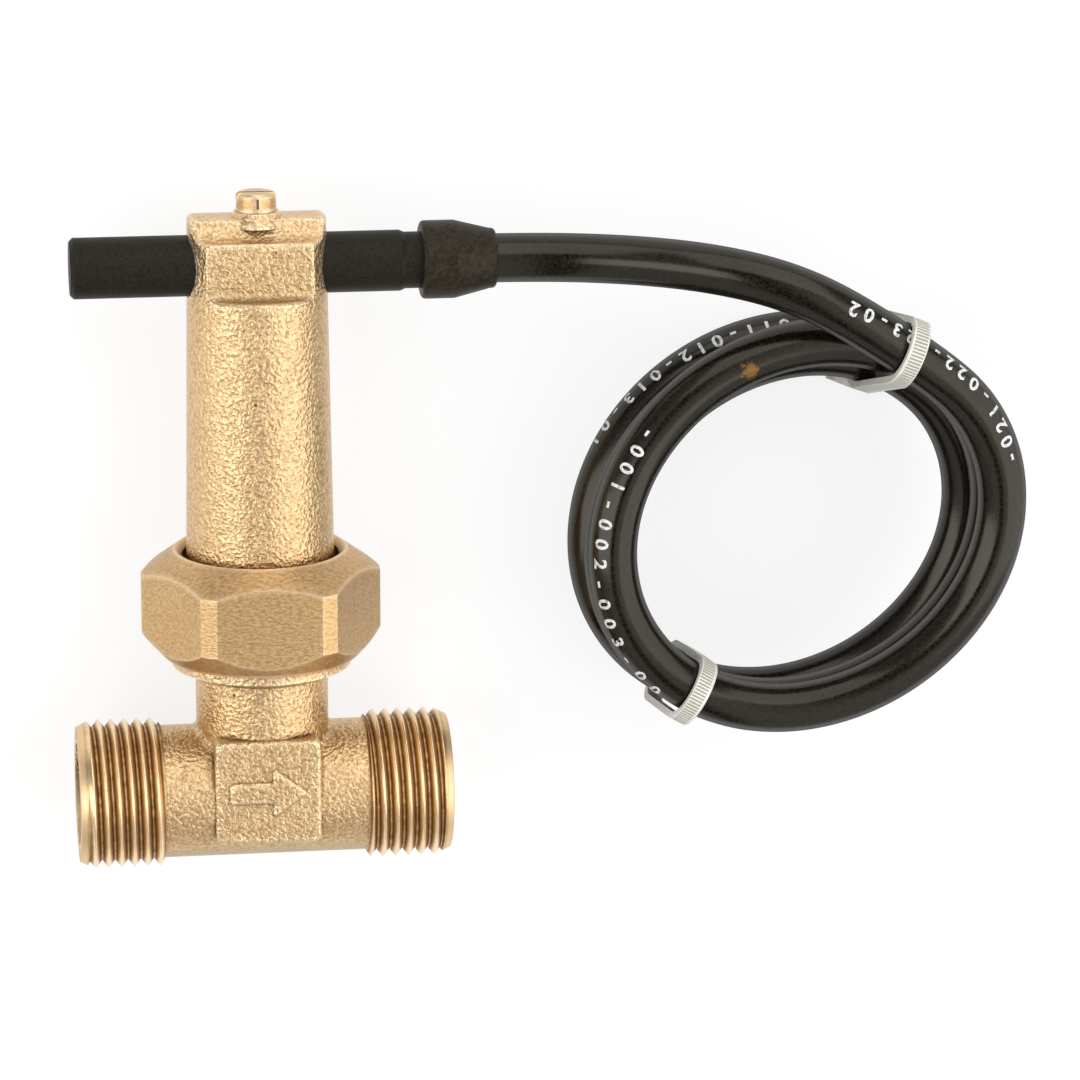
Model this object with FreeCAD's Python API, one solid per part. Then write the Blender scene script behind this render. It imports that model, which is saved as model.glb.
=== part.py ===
import FreeCAD, Part
import math
import os

os.makedirs("parts", exist_ok=True)

# A brass paddle flow switch for a half inch line, lying on its back.
# The frame: +X from the inlet to the outlet, +Y from the pipe to the head, +Z out of the front face.
# The origin is the middle of the union nut's back flat, on which the switch rests.
# Every length is in millimetres. Levels are heights over the pipe's axis, measured along the housing.

# Pipe run and its two male threads
RUN_LENGTH = 52.0
RUN_RADIUS = 9.3
WATERWAY_RADIUS = 7.25
PIPE_THREAD_RADIUS = 20.955 / 2
PIPE_THREAD_LENGTH = 11.8
THREAD_CHAMFER = 1.0

# Branch, collar, union thread and the square cast pad
BRANCH_RADIUS = 9.25
BRANCH_BORE_RADIUS = 7.0
COLLAR_RADIUS = 12.5
COLLAR_HEIGHT = 1.8
COLLAR_CONE = 1.4
UNION_THREAD_RADIUS = 26.441 / 2
UNION_THREAD_LENGTH = 8.4
UNION_CHAMFER = 0.7
SEAT_LEVEL = 28.8
PAD_WIDTH = 14.8
PAD_HEIGHT = 14.9
PAD_CENTRE_LEVEL = 2.25
PAD_FRONT = 9.85
PAD_CORNER = 1.2
CAST_EDGE = 0.6
CAST_SEAM = 1.0

# Pivot carrier, keyed in the branch
CARRIER_HEIGHT = 5.0
CARRIER_RADIUS = 9.9
KEY_WIDTH = 3.0
KEY_DEPTH = 1.4
KEY_HEIGHT = 1.6
PIVOT_BELOW_SEAT = 1.9
PIN_RADIUS = 0.8
PIN_LENGTH = 18.4

# Lever, paddle and magnet; the pivot is the middle of the lever's own frame.
# The lever leans until the holder's top is this far aside, and swings as far to the other side.
HUB_RADIUS = 2.0
HUB_LENGTH = 11.0
ARM_WIDTH = 4.0
ARM_THICKNESS = 1.2
ARM_DOWN = 21.0
PADDLE_WIDTH = 11.0
PADDLE_TOP = 15.0
PADDLE_TIP = 32.1
PADDLE_THICKNESS = 0.8
RIVET_RADIUS = 0.7
RIVET_HEAD_RADIUS = 1.2
RIVET_HEAD = 0.45
RIVET_BELOW_TOP = 1.6
RIVET_SPACING = 2.8
MAGNET_RADIUS = 1.9
MAGNET_LENGTH = 4.5
HOLDER_RADIUS = 2.7
HOLDER_HEIGHT = 6.6
HOLDER_BELOW_ROOF = 2.3
HOLDER_ASIDE = 4.03
SPRING_WIRE_RADIUS = 0.2
SPRING_RADIUS = 2.5
SPRING_TURNS = 3
SPRING_PITCH = 0.75
SPRING_LEG_ANGLE = 12.5
SPRING_OFFSET = 1.2
SPRING_HOOK_REACH = 1.6
SPRING_KNEE = 1.4
SPRING_BEND = 0.6

# Union: gasket, housing flange and nut
GASKET_THICKNESS = 1.5
GASKET_INNER_RADIUS = 8.0
FLANGE_RADIUS = 12.0
FLANGE_HEIGHT = 2.3
NUT_FLATS = 30.0
NUT_TURNED_RADIUS = 16.65
NUT_HEIGHT = 15.0
NUT_CAP = 2.5
NUT_RIM_RADIUS = 11.75
NUT_RIM = 0.2
NUT_HOLE_RADIUS = 10.9
NUT_TOP_CONE = 3.4
NUT_BOTTOM_CONE = 3.3
NUT_FOOT_RADIUS = 13.7

# Housing and its head
HOUSING_LOW_RADIUS = 10.3
HOUSING_TOP_RADIUS = 9.5
HOUSING_TOP = 82.0
CHAMBER_RADIUS = 7.3
CHAMBER_CONE = 1.5
CHAMBER_BELOW_REED = 7.4
RIDGE_HALF = 2.8
HEAD_FLAT = 6.3
SCOOP_DEPTH = 2.75
LEDGE_BELOW_REED = 3.7
LEDGE_BEND = 1.1
HEAD_EDGE = 0.5
BOSS_TOP_RADIUS = 3.1
BOSS_FOOT_RADIUS = 4.1
BOSS_HEIGHT = 0.65

# Set screw and pressure pad
SCREW_RADIUS = 1.5
SCREW_HEAD_RADIUS = 2.75
SCREW_HEAD_HEIGHT = 2.6
SCREW_EDGE = 0.35
SLOT_WIDTH = 0.8
SLOT_DEPTH = 1.1
MARK_WIDTH = 0.35
MARK_LENGTH = 1.35
MARK_DEPTH = 0.3
MARK_BELOW_TOP = 0.6
PAD_DISC_RADIUS = 1.4
PAD_DISC_HEIGHT = 1.0

# Reed tube, its boot and what they hold
REED_BELOW_TOP = 6.8
REED_TUBE_RADIUS = 4.2
REED_TUBE_LEFT = -25.6
REED_TUBE_SHOULDER = 19.6
REED_TUBE_RIGHT = 28.5
REED_TUBE_WALL = 1.0
REED_TUBE_END_WALL = 1.2
REED_TUBE_CHAMFER = 0.5
NECK_RADIUS = 3.9
NECK_CHAMFER = 0.7
BOOT_LEFT = 22.5
BOOT_FULL = 4.6
BOOT_TAPER = 5.0
BOOT_RIGHT = 32.9
BOOT_RADIUS = 5.4
BOOT_END_RADIUS = 4.15
BOOT_EDGE = 0.6
CAPSULE_RADIUS = 1.2
CAPSULE_WALL = 0.3
CAPSULE_LENGTH = 15.0
REED_BLADE_WIDTH = 0.9
REED_BLADE_THICKNESS = 0.25
REED_OVERLAP = 1.6
REED_GAP = 0.2
REED_LEAD_LENGTH = 3.0
CORE_RADIUS = 0.6
CORE_OFFSET = 2.2

# Cable, coil and ties
CABLE_DIAMETER = 6.8
LEAD_ROUTE = ((39.05, 0.0, 0.0), (52.02, -0.04, 3.64), (62.02, -0.48, 8.53), (71.15, -2.42, 11.0))
LEAD_LAST_RUN = 9.36
COIL_TURNS = 3.0
COIL_PITCH = 7.3
COIL_END_HEIGHT = 4.65
COIL_CENTRE_X = 75.4
COIL_BELOW_REED = 39.35
COIL_LONG_RADIUS = 28.1
COIL_SHORT_RADIUS = 24.65
COIL_LONG_AXIS = 34.5
COIL_START = 53.2
COIL_LEAN_X = 0.067
COIL_LEAN_Y = 0.143
COIL_STAGGER = 1.06
COIL_LEAD_IN = 1.5
COIL_LEAD_IN_FADE = 0.25
TIE_WIDTH = 2.4
TIE_THICKNESS = 0.95
TIE_HEAD_LENGTH = 4.8
TIE_HEAD_WIDTH = 4.2
TIE_HEAD_DEPTH = 3.3
TIE_FOOT_DEPTH = 3.63
TIE_UPPER_ANGLE = 64.0
TIE_LOWER_ANGLE = 234.5
TIE_SLACK = 0.1

# Clearances
FIT_GAP = 0.05
PRESS_GAP = 0.02
TIE_GAP = 0.5

# Worked out from the sizes above
AXIS_HEIGHT = NUT_FLATS / 2
GASKET_TOP = SEAT_LEVEL + GASKET_THICKNESS
FLANGE_TOP = GASKET_TOP + FLANGE_HEIGHT
NUT_TOP = FLANGE_TOP + NUT_CAP
NUT_BOTTOM = NUT_TOP - NUT_HEIGHT
ORIGIN_LEVEL = (NUT_TOP + NUT_BOTTOM) / 2
UNION_THREAD_BOTTOM = SEAT_LEVEL - UNION_THREAD_LENGTH
COLLAR_BOTTOM = UNION_THREAD_BOTTOM - COLLAR_HEIGHT
PIVOT_LEVEL = SEAT_LEVEL - PIVOT_BELOW_SEAT
RIVET_LEVELS = (PADDLE_TOP + RIVET_BELOW_TOP, PADDLE_TOP + RIVET_BELOW_TOP + RIVET_SPACING)
REED_LEVEL = HOUSING_TOP - REED_BELOW_TOP
LEDGE_LEVEL = REED_LEVEL - LEDGE_BELOW_REED
HEAD_FLAT_BOTTOM = LEDGE_LEVEL + LEDGE_BEND
CHAMBER_TOP = REED_LEVEL - CHAMBER_BELOW_REED
HOLDER_BOTTOM = CHAMBER_TOP - HOLDER_BELOW_ROOF - HOLDER_HEIGHT - PIVOT_LEVEL
HOLDER_TOP = HOLDER_BOTTOM + HOLDER_HEIGHT
LEVER_TILT = math.degrees(math.asin(HOLDER_ASIDE / HOLDER_TOP))
MAGNET_FOOT = HOLDER_TOP - MAGNET_LENGTH
BOSS_TOP = HOUSING_TOP + BOSS_HEIGHT
PAD_DISC_LEVEL = REED_LEVEL + REED_TUBE_RADIUS + FIT_GAP
SCREW_TIP_LEVEL = PAD_DISC_LEVEL + PAD_DISC_HEIGHT
CABLE_RADIUS = CABLE_DIAMETER / 2
COIL_CENTRE_LEVEL = REED_LEVEL - COIL_BELOW_REED

X = FreeCAD.Vector(1, 0, 0)
Y = FreeCAD.Vector(0, 1, 0)
Z = FreeCAD.Vector(0, 0, 1)
HERE = FreeCAD.Vector(0, 0, 0)


def point(x, level, height=0.0):
    """A point by its place along the run, its level over the pipe's axis and its height over that axis."""
    return FreeCAD.Vector(x, level, height)


def save(name, shape):
    """Move a piece from the pipe's axis to the part's own frame and write it."""
    placed = shape.copy()
    placed.translate(FreeCAD.Vector(0, -ORIGIN_LEVEL, AXIS_HEIGHT))
    placed.exportStep("parts/" + name + ".step")
    return placed


def turned(corners, axis, start=HERE):
    """A solid of revolution from (radius, place along the axis) corners."""
    side = X if axis.y else Y
    outline = [start + side * r + axis * along for r, along in corners]
    face = Part.Face(Part.makePolygon(outline + outline[:1]))
    return face.revolve(start, axis, 360)


def rod(radius, start, axis, length):
    return Part.makeCylinder(radius, length, start, axis)


def block(x, level, height):
    """A box from its low and high ends along each axis."""
    sides = [high - low for low, high in (x, level, height)]
    return Part.makeBox(*sides, point(x[0], level[0], height[0]))


def edges_where(shape, wanted):
    return [edge for edge in shape.Edges if wanted(edge)]


def pipe_thread_barrel(side):
    """One male thread at its crest radius, chamfered at both ends."""
    end = RUN_LENGTH / 2
    start = end - PIPE_THREAD_LENGTH
    step = PIPE_THREAD_RADIUS - RUN_RADIUS
    corners = [
        (0, start),
        (RUN_RADIUS, start),
        (PIPE_THREAD_RADIUS, start + step / 2),
        (PIPE_THREAD_RADIUS, end - THREAD_CHAMFER),
        (PIPE_THREAD_RADIUS - THREAD_CHAMFER, end),
        (0, end),
    ]
    return turned(corners, X * side)


def tee_body():
    """The casting: run, branch with its collar and union thread, square pad, and a rounded inner seam."""
    end = RUN_LENGTH / 2
    run = rod(RUN_RADIUS, point(-end, 0), X, RUN_LENGTH)
    branch = turned(
        [
            (0, 0),
            (BRANCH_RADIUS, 0),
            (BRANCH_RADIUS, COLLAR_BOTTOM - COLLAR_CONE),
            (COLLAR_RADIUS, COLLAR_BOTTOM),
            (COLLAR_RADIUS, UNION_THREAD_BOTTOM),
            (UNION_THREAD_RADIUS, UNION_THREAD_BOTTOM + UNION_CHAMFER),
            (UNION_THREAD_RADIUS, SEAT_LEVEL - UNION_CHAMFER),
            (UNION_THREAD_RADIUS - UNION_CHAMFER, SEAT_LEVEL),
            (0, SEAT_LEVEL),
        ],
        Y,
    )
    cast = run.fuse(branch)
    seam = edges_where(cast, lambda e: min(e.BoundBox.XLength, e.BoundBox.ZLength) > BRANCH_RADIUS)
    seam = [edge for edge in seam if edge.BoundBox.YMax < RUN_RADIUS + FIT_GAP]
    cast = cast.makeFillet(CAST_SEAM, seam)
    pad = block(
        (-PAD_WIDTH / 2, PAD_WIDTH / 2),
        (PAD_CENTRE_LEVEL - PAD_HEIGHT / 2, PAD_CENTRE_LEVEL + PAD_HEIGHT / 2),
        (0, PAD_FRONT),
    )
    upright = edges_where(pad, lambda e: abs(e.tangentAt(e.FirstParameter).z) > 0.9)
    pad = pad.makeFillet(PAD_CORNER, upright)
    front = edges_where(pad, lambda e: e.BoundBox.ZMin > PAD_FRONT - 0.01)
    pad = pad.makeFillet(CAST_EDGE, front)
    body = cast.fuse([pipe_thread_barrel(1), pipe_thread_barrel(-1), pad])
    waterway = rod(WATERWAY_RADIUS, point(-end, 0), X, RUN_LENGTH)
    bore = rod(BRANCH_BORE_RADIUS, HERE, Y, SEAT_LEVEL)
    pocket = rod(CARRIER_RADIUS + FIT_GAP, point(0, SEAT_LEVEL - CARRIER_HEIGHT), Y, CARRIER_HEIGHT)
    return body.cut([waterway, bore, pocket, carrier_key(FIT_GAP)]).removeSplitter()


def carrier_key(gap):
    """The lug on the carrier's rim, or with a gap the notch that it drops into."""
    return block(
        (0, CARRIER_RADIUS + KEY_DEPTH + gap),
        (SEAT_LEVEL - KEY_HEIGHT - gap, SEAT_LEVEL),
        (-KEY_WIDTH / 2 - gap, KEY_WIDTH / 2 + gap),
    )


def pivot_carrier():
    foot = point(0, SEAT_LEVEL - CARRIER_HEIGHT)
    ring = rod(CARRIER_RADIUS, foot, Y, CARRIER_HEIGHT).fuse(carrier_key(0))
    bore = rod(BRANCH_BORE_RADIUS, foot, Y, CARRIER_HEIGHT)
    pin_hole = rod(PIN_RADIUS + PRESS_GAP, point(0, PIVOT_LEVEL, -CARRIER_RADIUS), Z, 2 * CARRIER_RADIUS)
    return ring.cut([bore, pin_hole])


def pivot_pin():
    return rod(PIN_RADIUS, point(0, PIVOT_LEVEL, -PIN_LENGTH / 2), Z, PIN_LENGTH)


def on_lever(shape):
    """Take a piece from the lever's own upright frame to its place at rest."""
    placed = shape.copy()
    placed.rotate(HERE, Z, -LEVER_TILT)
    placed.translate(point(0, PIVOT_LEVEL))
    return placed


def rivet_holes(first, last, gap):
    return [
        rod(RIVET_RADIUS + gap, point(first, -level), X, last - first)
        for level in RIVET_LEVELS
    ]


def lever():
    hub = rod(HUB_RADIUS, point(0, 0, -HUB_LENGTH / 2), Z, HUB_LENGTH)
    arm = block(
        (-ARM_THICKNESS / 2, ARM_THICKNESS / 2),
        (-ARM_DOWN, MAGNET_FOOT),
        (-ARM_WIDTH / 2, ARM_WIDTH / 2),
    )
    bore = rod(PIN_RADIUS + FIT_GAP, point(0, 0, -HUB_LENGTH), Z, 2 * HUB_LENGTH)
    holes = rivet_holes(-ARM_THICKNESS, ARM_THICKNESS, PRESS_GAP)
    return on_lever(hub.fuse(arm).cut([bore] + holes))


def paddle_blade():
    """A plate with a half round tip, on the downstream face of the arm."""
    half = PADDLE_WIDTH / 2
    near = ARM_THICKNESS / 2
    middle = PADDLE_TIP - half
    corner = [point(near, -PADDLE_TOP, -half), point(near, -PADDLE_TOP, half)]
    foot = [point(near, -middle, half), point(near, -middle, -half)]
    tip = point(near, -PADDLE_TIP, 0)
    outline = Part.Wire(
        [
            Part.makeLine(corner[0], corner[1]),
            Part.makeLine(corner[1], foot[0]),
            Part.Arc(foot[0], tip, foot[1]).toShape(),
            Part.makeLine(foot[1], corner[0]),
        ]
    )
    plate = Part.Face(outline).extrude(X * PADDLE_THICKNESS)
    return on_lever(plate.cut(rivet_holes(0, near + 2 * PADDLE_THICKNESS, PRESS_GAP)))


def paddle_rivets():
    """Two rivets, each a shank with a flat head on either side."""
    left = -ARM_THICKNESS / 2
    right = ARM_THICKNESS / 2 + PADDLE_THICKNESS
    rivets = []
    for level in RIVET_LEVELS:
        shank = rod(RIVET_RADIUS, point(left - RIVET_HEAD, -level), X, right - left + 2 * RIVET_HEAD)
        low_head = rod(RIVET_HEAD_RADIUS, point(left - RIVET_HEAD, -level), X, RIVET_HEAD)
        high_head = rod(RIVET_HEAD_RADIUS, point(right, -level), X, RIVET_HEAD)
        rivets.append(shank.fuse([low_head, high_head]))
    return on_lever(Part.makeCompound(rivets))


def magnet():
    return on_lever(rod(MAGNET_RADIUS, point(0, MAGNET_FOOT), Y, MAGNET_LENGTH))


def magnet_holder():
    """A cup with the magnet in its mouth and the arm's end in a slot in its foot."""
    cup = rod(HOLDER_RADIUS, point(0, HOLDER_BOTTOM), Y, HOLDER_HEIGHT)
    pocket = rod(MAGNET_RADIUS, point(0, MAGNET_FOOT), Y, MAGNET_LENGTH)
    slot = block(
        (-ARM_THICKNESS / 2, ARM_THICKNESS / 2),
        (HOLDER_BOTTOM, MAGNET_FOOT),
        (-ARM_WIDTH / 2, ARM_WIDTH / 2),
    )
    return on_lever(cup.cut([pocket, slot]))


def spring_point(turn):
    """A point on the spring's coils, from the leg behind the arm outwards along the hub."""
    angle = math.radians(180 - SPRING_LEG_ANGLE + 360 * turn)
    start = ARM_WIDTH / 2 + SPRING_OFFSET
    across = SPRING_RADIUS * math.cos(angle)
    along = SPRING_RADIUS * math.sin(angle)
    return point(across, along, start + SPRING_PITCH * turn)


def spring_heading(turn):
    step = 0.0005
    return (spring_point(turn + step) - spring_point(turn - step)).normalize()


def return_spring():
    """A torsion spring round the hub: one leg hooked behind the arm, the other against the branch's wall."""
    quarters = 4 * SPRING_TURNS
    centres = [spring_point(k / 4) for k in range(quarters + 1)]
    headings = [spring_heading(k / 4) for k in range(quarters + 1)]
    leg = (centres[0].x + ARM_THICKNESS / 2 + SPRING_WIRE_RADIUS) / headings[0].x
    elbow = centres[0] - headings[0] * leg
    hook_end = elbow - Z * (elbow.z + SPRING_HOOK_REACH)
    knee = centres[-1] + headings[-1] * SPRING_KNEE
    wall = math.sqrt(BRANCH_BORE_RADIUS**2 - knee.z**2) - 2 * SPRING_WIRE_RADIUS
    foot = knee - X * (wall + knee.x)
    edges = bent_run([hook_end, elbow, centres[0]], SPRING_BEND)
    for k in range(quarters):
        edges += biarc(centres[k], headings[k], centres[k + 1], headings[k + 1])
    edges += bent_run([centres[-1], knee, foot], SPRING_BEND)
    profile = Part.Wire(Part.makeCircle(SPRING_WIRE_RADIUS, hook_end, Z))
    return on_lever(Part.Wire(edges).makePipeShell([profile], True, False))


def bent_run(points, radius):
    """Two straight runs with one bend of this radius between them."""
    start, corner, end = points
    back = (start - corner).normalize()
    ahead = (end - corner).normalize()
    half_turn = (math.pi - back.getAngle(ahead)) / 2
    cut = radius * math.tan(half_turn)
    first = corner + back * cut
    last = corner + ahead * cut
    return [
        Part.LineSegment(start, first).toShape(),
        arc_from(first, corner, last),
        Part.LineSegment(last, end).toShape(),
    ]


def union_gasket():
    ring = rod(FLANGE_RADIUS, point(0, SEAT_LEVEL), Y, GASKET_THICKNESS)
    return ring.cut(rod(GASKET_INNER_RADIUS, point(0, SEAT_LEVEL), Y, GASKET_THICKNESS))


def union_nut():
    """A hexagon turned to a cone above and below, bored for the thread and the housing."""
    corner = NUT_FLATS / math.sqrt(3)
    angles = [math.radians(60 * k) for k in range(7)]
    ring = [point(corner * math.cos(a), NUT_BOTTOM, corner * math.sin(a)) for a in angles]
    prism = Part.Face(Part.makePolygon(ring)).extrude(Y * NUT_HEIGHT)
    skin = turned(
        [
            (0, NUT_BOTTOM),
            (NUT_FOOT_RADIUS, NUT_BOTTOM),
            (NUT_TURNED_RADIUS, NUT_BOTTOM + NUT_BOTTOM_CONE),
            (NUT_TURNED_RADIUS, NUT_TOP - NUT_TOP_CONE),
            (NUT_RIM_RADIUS + NUT_RIM, NUT_TOP),
            (0, NUT_TOP),
        ],
        Y,
    )
    thread_bore = rod(UNION_THREAD_RADIUS + FIT_GAP, point(0, NUT_BOTTOM), Y, FLANGE_TOP - NUT_BOTTOM)
    hole = turned(
        [
            (0, NUT_BOTTOM),
            (NUT_HOLE_RADIUS, NUT_BOTTOM),
            (NUT_HOLE_RADIUS, NUT_TOP - (NUT_RIM_RADIUS - NUT_HOLE_RADIUS)),
            (NUT_RIM_RADIUS, NUT_TOP),
            (0, NUT_TOP),
        ],
        Y,
    )
    return prism.common(skin).cut([thread_bore, hole])


def head_cut(side):
    """What is taken off the front or the back of the head: a scoop below the ridge, a flat and a ledge."""
    scoop_top = HOUSING_TOP
    flat_top = HOUSING_TOP - SCOOP_DEPTH
    out = HOUSING_LOW_RADIUS + 2
    above = HOUSING_TOP + 2
    ridge = point(0, scoop_top, side * RIDGE_HALF)
    edge = point(0, flat_top, side * HEAD_FLAT)
    sag = point(0, flat_top + 0.26 * SCOOP_DEPTH, side * (RIDGE_HALF + 0.3 * (HEAD_FLAT - RIDGE_HALF)))
    foot = point(0, HEAD_FLAT_BOTTOM, side * HEAD_FLAT)
    heel = point(0, LEDGE_LEVEL, side * (HEAD_FLAT + LEDGE_BEND))
    turn = LEDGE_BEND * (1 - math.sqrt(0.5))
    heel_middle = point(0, LEDGE_LEVEL + turn, side * (HEAD_FLAT + turn))
    far_low = point(0, LEDGE_LEVEL, side * out)
    far_high = point(0, above, side * out)
    near_high = point(0, above, side * RIDGE_HALF)
    outline = Part.Wire(
        [
            Part.Arc(ridge, sag, edge).toShape(),
            Part.makeLine(edge, foot),
            Part.Arc(foot, heel_middle, heel).toShape(),
            Part.makeLine(heel, far_low),
            Part.makeLine(far_low, far_high),
            Part.makeLine(far_high, near_high),
            Part.makeLine(near_high, ridge),
        ]
    )
    cut = Part.Face(outline).extrude(X * 4 * HOUSING_LOW_RADIUS)
    cut.translate(X * (-2 * HOUSING_LOW_RADIUS))
    return cut


def housing():
    """The cast body: flange, tapered barrel over the lever's chamber, and the flattened head."""
    body = turned(
        [
            (0, GASKET_TOP),
            (FLANGE_RADIUS, GASKET_TOP),
            (FLANGE_RADIUS, FLANGE_TOP),
            (HOUSING_LOW_RADIUS, FLANGE_TOP),
            (HOUSING_TOP_RADIUS, HOUSING_TOP),
            (0, HOUSING_TOP),
        ],
        Y,
    )
    body = body.cut([head_cut(1), head_cut(-1)])
    rim = edges_where(body, lambda e: e.BoundBox.YMin > LEDGE_LEVEL - 0.01)
    body = body.makeFillet(HEAD_EDGE, rim)
    boss = turned(
        [
            (0, HOUSING_TOP - BOSS_TOP_RADIUS),
            (BOSS_FOOT_RADIUS, HOUSING_TOP - (BOSS_FOOT_RADIUS - RIDGE_HALF)),
            (BOSS_TOP_RADIUS, BOSS_TOP),
            (0, BOSS_TOP),
        ],
        Y,
    )
    body = body.fuse(boss)
    chamber = turned(
        [
            (0, GASKET_TOP),
            (CHAMBER_RADIUS, GASKET_TOP),
            (CHAMBER_RADIUS, CHAMBER_TOP - CHAMBER_CONE),
            (CHAMBER_RADIUS - 2 * CHAMBER_CONE, CHAMBER_TOP),
            (0, CHAMBER_TOP),
        ],
        Y,
    )
    cross = 2 * HOUSING_LOW_RADIUS
    reed_bore = rod(REED_TUBE_RADIUS + FIT_GAP, point(-cross, REED_LEVEL), X, 2 * cross)
    screw_hole = rod(SCREW_RADIUS, point(0, REED_LEVEL), Y, BOSS_TOP - REED_LEVEL)
    return body.cut([chamber, reed_bore, screw_hole]).removeSplitter()


def set_screw():
    """A screw with a chamfered cheese head, a slot from left to right and a short mark on its front."""
    top = BOSS_TOP + SCREW_HEAD_HEIGHT
    body = turned(
        [
            (0, SCREW_TIP_LEVEL),
            (SCREW_RADIUS - FIT_GAP, SCREW_TIP_LEVEL),
            (SCREW_RADIUS - FIT_GAP, BOSS_TOP),
            (SCREW_HEAD_RADIUS, BOSS_TOP),
            (SCREW_HEAD_RADIUS, top - SCREW_EDGE),
            (SCREW_HEAD_RADIUS - SCREW_EDGE, top),
            (0, top),
        ],
        Y,
    )
    slot = block(
        (-2 * SCREW_HEAD_RADIUS, 2 * SCREW_HEAD_RADIUS),
        (top - SLOT_DEPTH, top + 1),
        (-SLOT_WIDTH / 2, SLOT_WIDTH / 2),
    )
    mark = block(
        (-MARK_WIDTH / 2, MARK_WIDTH / 2),
        (top - MARK_BELOW_TOP - MARK_LENGTH, top - MARK_BELOW_TOP),
        (SCREW_HEAD_RADIUS - MARK_DEPTH, 2 * SCREW_HEAD_RADIUS),
    )
    return body.cut([slot, mark])


def pressure_pad():
    return rod(PAD_DISC_RADIUS, point(0, PAD_DISC_LEVEL), Y, PAD_DISC_HEIGHT)


def reed_tube():
    """A blind tube with a chamfered end, and a shoulder down to the neck inside the boot."""
    start = point(0, REED_LEVEL)
    outside = turned(
        [
            (0, REED_TUBE_LEFT),
            (REED_TUBE_RADIUS - REED_TUBE_CHAMFER, REED_TUBE_LEFT),
            (REED_TUBE_RADIUS, REED_TUBE_LEFT + REED_TUBE_CHAMFER),
            (REED_TUBE_RADIUS, REED_TUBE_SHOULDER),
            (NECK_RADIUS, REED_TUBE_SHOULDER + NECK_CHAMFER),
            (NECK_RADIUS, REED_TUBE_RIGHT),
            (0, REED_TUBE_RIGHT),
        ],
        X,
        start,
    )
    return outside.cut(reed_tube_bore())


def reed_tube_bore():
    first = REED_TUBE_LEFT + REED_TUBE_END_WALL
    return rod(REED_TUBE_RADIUS - REED_TUBE_WALL, point(first, REED_LEVEL), X, REED_TUBE_RIGHT - first)


def reed_capsule():
    """A sealed glass tube with the two contact blades through its ends."""
    outside = rod(CAPSULE_RADIUS, point(-CAPSULE_LENGTH / 2, REED_LEVEL), X, CAPSULE_LENGTH)
    end_wall = 2 * CAPSULE_WALL
    inside = rod(
        CAPSULE_RADIUS - CAPSULE_WALL,
        point(-CAPSULE_LENGTH / 2 + end_wall, REED_LEVEL),
        X,
        CAPSULE_LENGTH - 2 * end_wall,
    )
    return outside.cut([inside, reed_blade(1), reed_blade(-1)])


def reed_blade(side):
    """One contact blade, from the middle of the capsule out through its end."""
    reach = CAPSULE_LENGTH / 2 + REED_LEAD_LENGTH
    height = side * (REED_BLADE_THICKNESS + REED_GAP) / 2
    ends = sorted((-side * REED_OVERLAP / 2, side * reach))
    return block(
        ends,
        (REED_LEVEL - REED_BLADE_WIDTH / 2, REED_LEVEL + REED_BLADE_WIDTH / 2),
        (height - REED_BLADE_THICKNESS / 2, height + REED_BLADE_THICKNESS / 2),
    )


def core_wires():
    """Two insulated wires: one from each blade's end, along the tube to the cable."""
    reach = CAPSULE_LENGTH / 2 + REED_LEAD_LENGTH
    wires = []
    for side in (1, -1):
        level = REED_LEVEL - side * CORE_OFFSET
        first = side * reach - CORE_RADIUS * (1 + side) / 2
        riser_start = point(side * (reach - CORE_RADIUS), REED_LEVEL)
        along = rod(CORE_RADIUS, point(riser_start.x, level), X, REED_TUBE_RIGHT - riser_start.x)
        riser = rod(CORE_RADIUS, riser_start, Y * -side, CORE_OFFSET)
        elbow = Part.makeSphere(CORE_RADIUS, point(riser_start.x, level))
        wires.append(along.fuse([riser, elbow]).cut(reed_blade(side)))
    return Part.makeCompound(wires)


def potting_resin(held):
    """The filling of the tube round everything in it."""
    return reed_tube_bore().cut(held)


def strain_relief():
    """A moulded boot: full at the tube, tapered to the cable, with rounded ends."""
    start = point(0, REED_LEVEL)
    full_end = BOOT_LEFT + BOOT_FULL
    outside = turned(
        [
            (0, BOOT_LEFT),
            (BOOT_RADIUS, BOOT_LEFT),
            (BOOT_RADIUS, full_end),
            (BOOT_END_RADIUS, full_end + BOOT_TAPER),
            (BOOT_END_RADIUS, BOOT_RIGHT),
            (0, BOOT_RIGHT),
        ],
        X,
        start,
    )
    left_rim = edges_where(outside, lambda e: e.BoundBox.XMax < BOOT_LEFT + 0.01)
    right_rim = edges_where(outside, lambda e: e.BoundBox.XMin > BOOT_RIGHT - 0.01)
    outside = outside.makeFillet(BOOT_EDGE, left_rim + right_rim)
    neck = rod(NECK_RADIUS, point(BOOT_LEFT, REED_LEVEL), X, REED_TUBE_RIGHT - BOOT_LEFT)
    cable = rod(CABLE_RADIUS, point(REED_TUBE_RIGHT, REED_LEVEL), X, BOOT_RIGHT - REED_TUBE_RIGHT)
    return outside.cut([neck, cable])


def lead_points():
    """The lead's route: straight out of the boot, up on to the coil and round into its first turn."""
    join, heading = coil_start()
    end = join - heading * CABLE_DIAMETER
    start = point(REED_TUBE_RIGHT, REED_LEVEL)
    route = [point(x, REED_LEVEL + over_reed, height) for x, over_reed, height in LEAD_ROUTE]
    return [start] + route + [end - heading * LEAD_LAST_RUN, end]


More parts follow.
